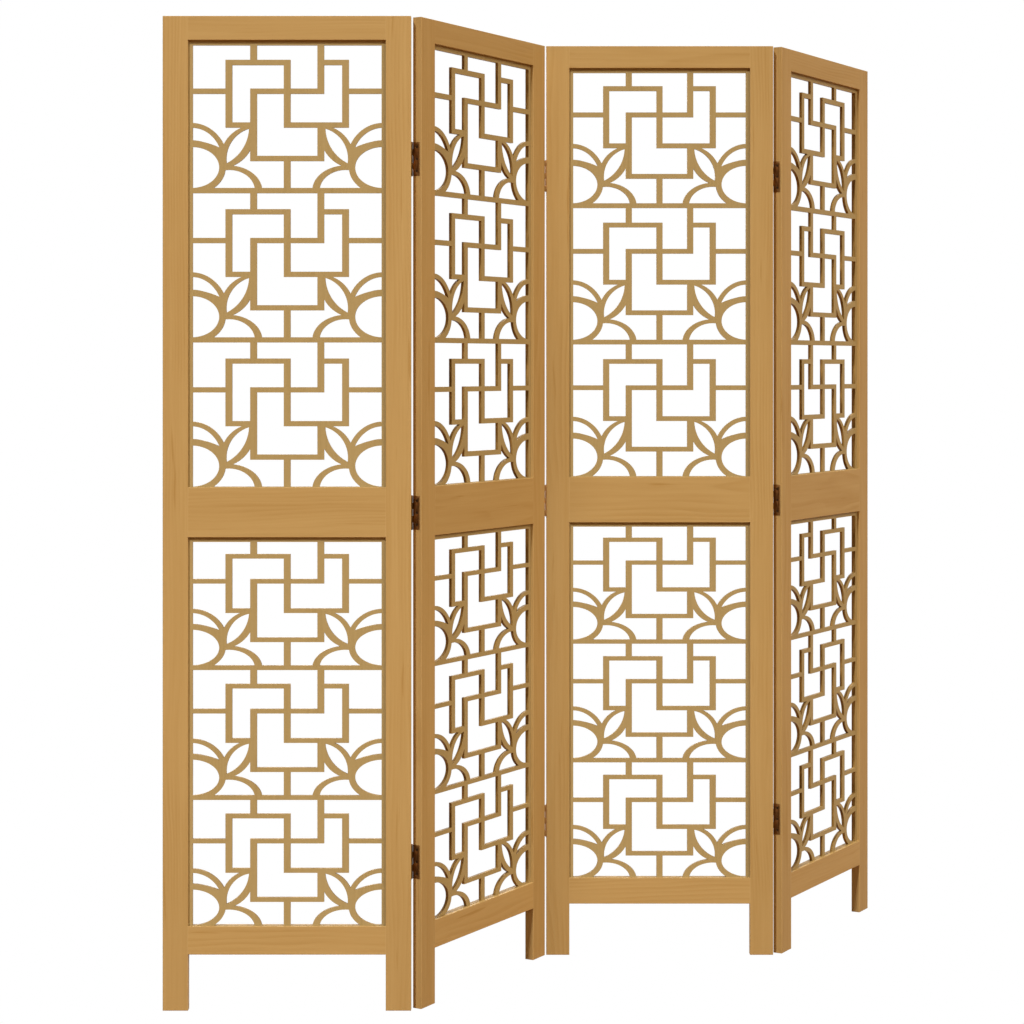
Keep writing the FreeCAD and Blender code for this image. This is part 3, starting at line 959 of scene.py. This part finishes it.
@dataclass
class Fold:
    """One fold: three hinges, each of two leaves, a pin and the screws."""

    name: str
    left: str
    right: str
    pin: Vector
    side: Side
    turns: dict[Edge, float]
    levels: tuple[str, ...] = ("top", "middle", "bottom")
    screws_per_leaf: int = 3
    screw_pitch: float = 0.020
    screw_line: float = 0.0094
    leaf_face: float = 0.0002
    screw_sink: float = 0.0001
    edge_softening: float = 0.00018
    softening_steps: int = 2
    weld_share: float = 0.02
    flat_angle: float = 0.5
    screw: Screw = field(default_factory=Screw)

    def dress(self) -> None:
        """Builds and dresses the pieces of the fold."""
        for edge, word in ((Edge.RIGHT, "left"), (Edge.LEFT, "right")):
            for level in self.levels:
                self.leaf(f"{self.name}_{level}_{word}_leaf", edge)
            self.screws(f"{self.name}_{word}_screws", edge, word)
        pins = f"{self.name}_pins"
        metal = PIN_METAL.material(pins, Place.of(pins, self.turns[Edge.RIGHT]))
        dress(frame["nodes"][pins], metal)
        log.info("%s: dressed", pins)

    def body(self, edge: Edge) -> str:
        """The body that carries the leaves of one edge."""
        return self.left if edge is Edge.RIGHT else self.right

    def leaf(self, node: str, edge: Edge) -> None:
        """Makes a leaf with softened edges from the frame's leaf.

        Args:
            node: the name of the frame's leaf.
            edge: the panel's edge that carries it.
        """
        made = bmesh.new()
        made.from_mesh(frame["nodes"][node].data)
        bmesh.ops.remove_doubles(made, verts=made.verts, dist=self.edge_softening * self.weld_share)
        bmesh.ops.dissolve_limit(made, angle_limit=radians(self.flat_angle), verts=made.verts,
                                 edges=made.edges)
        sharp = [one for one in made.edges
                 if len(one.link_faces) == 2 and one.calc_face_angle() > radians(SMOOTH_ANGLE)]
        bmesh.ops.bevel(made, geom=sharp, offset=self.edge_softening, segments=self.softening_steps,
                        profile=0.5, affect="EDGES", material=-1, clamp_overlap=True)
        piece = finished_piece(f"{node}_softened", made)
        finish = BRONZE.material(node, Place.of(node, self.turns[edge]), self.pin, self.side)
        dress(piece, finish)
        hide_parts(node)
        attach(piece, self.body(edge))
        log.info("%s: %d faces", piece.name, len(piece.data.polygons))

    def screw_places(self, edge: Edge, word: str) -> list[Matrix]:
        """Works out where each screw of one edge goes.

        Args:
            edge: the panel's edge that carries them.
            word: the side of the fold on which their leaves are.

        Returns:
            A transform for each screw, whose head faces up in its own frame.
        """
        out = 1 if edge is Edge.RIGHT else -1
        back = 1 if self.side is Side.BACK else -1
        turn = Matrix.Rotation(radians(self.turns[edge]), 4, "Z")
        tilt = Matrix.Rotation(out * pi / 2, 4, "Y")
        draw = Random(f"{self.name}_{word}")
        places = []
        for level in self.levels:
            low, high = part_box(f"{self.name}_{level}_{word}_leaf")
            for number in range(self.screws_per_leaf):
                height = (low.z + high.z) / 2 + (number - (self.screws_per_leaf - 1) / 2) * self.screw_pitch
                spot = Vector((-out * (self.leaf_face + self.screw_sink), -back * self.screw_line, 0.0))
                spun = Matrix.Rotation(draw.uniform(0, pi), 4, "Z")
                stand = Matrix.Translation(Vector((self.pin.x, self.pin.y, height)))
                places.append(stand @ turn @ Matrix.Translation(spot) @ tilt @ spun)
        return places

    def screws(self, node: str, edge: Edge, word: str) -> None:
        """Makes the screws of one edge as one piece.

        Args:
            node: the name of the frame's group of screws.
            edge: the panel's edge that carries them.
            word: the side of the fold on which their leaves are.
        """
        single = self.screw.build()
        mesh = bpy.data.meshes.new("screw")
        single.to_mesh(mesh)
        single.free()
        made = bmesh.new()
        for place in self.screw_places(edge, word):
            start = len(made.verts)
            made.from_mesh(mesh)
            made.verts.ensure_lookup_table()
            bmesh.ops.transform(made, matrix=place, verts=made.verts[start:])
        bpy.data.meshes.remove(mesh)
        piece = finished_piece(f"{self.name}_{word}_cross_screws", made)
        dress(piece, SCREW_METAL.material(node, Place.of(node, self.turns[edge])))
        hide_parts(node)
        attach(piece, self.body(edge))
        log.info("%s: %d faces", piece.name, len(piece.data.polygons))


def finished_piece(name: str, made: bmesh.types.BMesh) -> bpy.types.Object:
    """Turns a mesh under work into an object, smooth but for its sharp edges.

    Args:
        name: the object's name.
        made: the mesh, which is freed.

    Returns:
        The object.
    """
    mesh = bpy.data.meshes.new(name)
    made.to_mesh(mesh)
    made.free()
    mesh.polygons.foreach_set("use_smooth", [True] * len(mesh.polygons))
    mesh.set_sharp_from_angle(angle=radians(SMOOTH_ANGLE))
    piece = bpy.data.objects.new(name, mesh)
    bpy.context.scene.collection.objects.link(piece)
    return piece


@dataclass
class Studio:
    """The floor, the lamps and the camera.

    The camera sees the floor and the world plain white, without the screen's shadow. To the light
    the floor is brown and the world is dim, so the light that comes back from them is low and warm,
    as the shaded sides of the pieces are in the photograph.
    """

    floor_drop: float = 0.0005
    floor_reach: float = 30.0
    floor_shade: Colour = (0.34, 0.17, 0.06)
    sky: float = 0.05
    key_aim: Triple = (-2.67, -5.47, 5.7)
    key_light: float = 0.71
    key_angle: float = 6.0
    fill_aim: Triple = (0.6, -0.5, 0.62)
    fill_light: float = 0.75
    fill_colour: Colour = (1.0, 0.88, 0.74)
    fill_angle: float = 50.0
    back_aim: Triple = (-0.3, 0.85, 0.4)
    back_light: float = 0.55
    back_colour: Colour = (1.0, 0.92, 0.82)
    back_angle: float = 50.0
    camera_place: Triple = (-0.06086, -4.22368, 1.07062)
    lens: float = 81.726
    sensor: float = 36.0
    shift: float = -0.14335

    def build(self) -> None:
        """Sets up the whole studio."""
        self.set_world()
        self.lay_floor()
        self.hang_light("key", self.key_aim, self.key_light, self.key_angle)
        self.hang_light("fill", self.fill_aim, self.fill_light, self.fill_angle, self.fill_colour)
        self.hang_light("back", self.back_aim, self.back_light, self.back_angle, self.back_colour)
        self.set_camera()
        bpy.context.scene.view_settings.view_transform = "Standard"
        log.info("studio: floor, world, three lamps and camera")

    def seen_share(self, graph: Graph) -> bpy.types.NodeSocket:
        """Adds the nodes that give 1 to what the camera, gloss or glass sees.

        Args:
            graph: the graph of the world or the floor.

        Returns:
            The share, 0 or 1.
        """
        path = graph.node("ShaderNodeLightPath")
        gloss = graph.math("MAXIMUM", path.outputs["Is Glossy Ray"], path.outputs["Is Transmission Ray"])
        return graph.math("MAXIMUM", path.outputs["Is Camera Ray"], gloss)

    def set_world(self) -> None:
        """Makes the world white to the eye and a plain dim light to the object."""
        world = bpy.data.worlds.new("studio")
        bpy.context.scene.world = world
        world.use_nodes = True
        world.node_tree.nodes.clear()
        graph = Graph(world.node_tree)
        light = graph.node("ShaderNodeBackground")
        graph.feed(light.inputs["Color"], (1.0, 1.0, 1.0))
        strength = graph.span(self.seen_share(graph), (0.0, 1.0), (self.sky, 1.0), smooth=False)
        graph.feed(light.inputs["Strength"], strength)
        graph.feed(graph.node("ShaderNodeOutputWorld").inputs["Surface"], light.outputs["Background"])

    def lay_floor(self) -> None:
        """Lays the floor just under the feet, white to the eye and brown to the light."""
        made = bmesh.new()
        bmesh.ops.create_grid(made, x_segments=1, y_segments=1, size=self.floor_reach)
        bmesh.ops.translate(made, vec=(0, 0, -self.floor_drop), verts=made.verts)
        floor = finished_piece("floor", made)
        material = bpy.data.materials.new("pale_floor")
        material.use_nodes = True
        material.node_tree.nodes.clear()
        graph = Graph(material.node_tree)
        paint, glow = graph.node("ShaderNodeBsdfDiffuse"), graph.node("ShaderNodeEmission")
        graph.feed(paint.inputs["Color"], self.floor_shade)
        graph.feed(glow.inputs["Color"], (1.0, 1.0, 1.0))
        blend = graph.node("ShaderNodeMixShader")
        graph.feed(blend.inputs[0], self.seen_share(graph))
        graph.feed(blend.inputs[1], paint.outputs["BSDF"])
        graph.feed(blend.inputs[2], glow.outputs["Emission"])
        graph.feed(graph.node("ShaderNodeOutputMaterial").inputs["Surface"], blend.outputs["Shader"])
        floor.data.materials.append(material)

    def hang_light(self, name: str, aim: Triple, strength: float, angle: float,
                   colour: Colour = (1.0, 1.0, 1.0)) -> None:
        """Adds a distant lamp.

        Args:
            name: the lamp's name.
            aim: the direction from the screen to the lamp.
            strength: how bright it makes a white face that looks at it.
            angle: how wide the lamp is, as seen from the screen.
            colour: the colour of its light.
        """
        data = bpy.data.lights.new(name, "SUN")
        data.energy = strength * pi
        data.angle = radians(angle)
        data.color = colour
        lamp = bpy.data.objects.new(name, data)
        lamp.rotation_euler = Vector(aim).to_track_quat("Z", "Y").to_euler()
        bpy.context.scene.collection.objects.link(lamp)

    def set_camera(self) -> None:
        """Stands the camera level before the screen."""
        data = bpy.data.cameras.new("camera")
        data.lens = self.lens
        data.sensor_width = self.sensor
        data.shift_y = self.shift
        camera = bpy.data.objects.new("camera", data)
        camera.location = self.camera_place
        camera.rotation_euler = (pi / 2, 0.0, 0.0)
        bpy.context.scene.collection.objects.link(camera)
        bpy.context.scene.camera = camera


def panel_turns(joints: list[dict]) -> dict[str, float]:
    """Works out how far each panel is turned, from the limit at which each fold lies flat.

    Args:
        joints: the frame's joints, from the first panel on.

    Returns:
        The turn of each panel about z.
    """
    turns = {joints[0]["parent"]: 0.0}
    for joint in joints:
        turns[joint["child"]] = turns[joint["parent"]] - min(joint["range_deg"], key=abs)
    return turns


def fold_of(joint: dict, turns: dict[str, float]) -> Fold:
    """Makes the fold of a joint.

    Args:
        joint: the frame's joint.
        turns: the turn of each panel.

    Returns:
        The fold.
    """
    side = Side.BACK if max(joint["range_deg"]) > QUARTER_TURN else Side.FRONT
    sides = {Edge.RIGHT: turns[joint["parent"]], Edge.LEFT: turns[joint["child"]]}
    return Fold(joint["name"], joint["parent"], joint["child"], Vector(joint["pos_m"]), side, sides)


def main() -> None:
    """Builds the studio, the panels and the folds."""
    logging.basicConfig(level=logging.INFO, format="%(name)s: %(message)s")
    Studio().build()
    turns = panel_turns(frame["joints"])
    # Each panel's turn, its painted shade as a whole and its painted shade beside its left fold
    looks = zip(turns.values(), PANEL_PAINTED_SHADE, PANEL_FOLD_SHADE)
    for number, (turn, panel_shade, fold_painted_shade) in enumerate(looks, start=1):
        Panel(number, turn, panel_shade, fold_painted_shade).dress()
    for joint in frame["joints"]:
        fold_of(joint, turns).dress()


if __name__ == "__main__":
    main()
